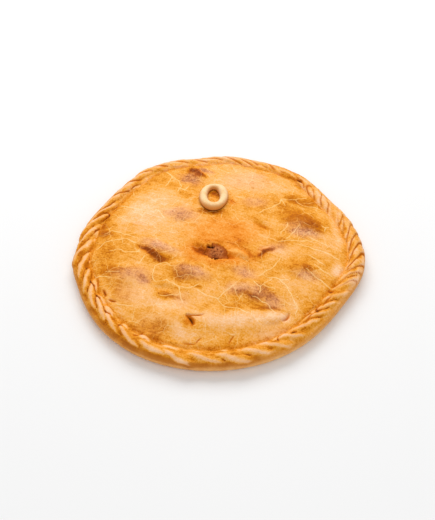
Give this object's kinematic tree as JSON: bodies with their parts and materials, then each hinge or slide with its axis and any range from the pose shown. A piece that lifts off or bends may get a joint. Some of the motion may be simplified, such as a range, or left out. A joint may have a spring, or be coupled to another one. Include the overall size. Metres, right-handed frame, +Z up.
{
  "type": "empanada",
  "caption": "Round baked empanada pie with a domed golden lid, a twisted rope of dough round the rim, a torn vent showing the filling, and a plain dough ring on top.",
  "frame": {"origin": "middle of the flat underside, on the surface that the pie rests on", "axes": "+Z up through the lid, -Y towards the front, where the long fold in the lid lies, +X to the right as seen from the front"},
  "size_m": [0.2953, 0.2951, 0.0355],
  "materials": {
    "crust": "satin",
    "filling": "matte",
    "pale_dough": "satin"
  },
  "bodies": {
    "root": {"crust": "crust", "vent_filling": "filling", "dough_ring": "pale_dough"}
  },
  "joints": []
}
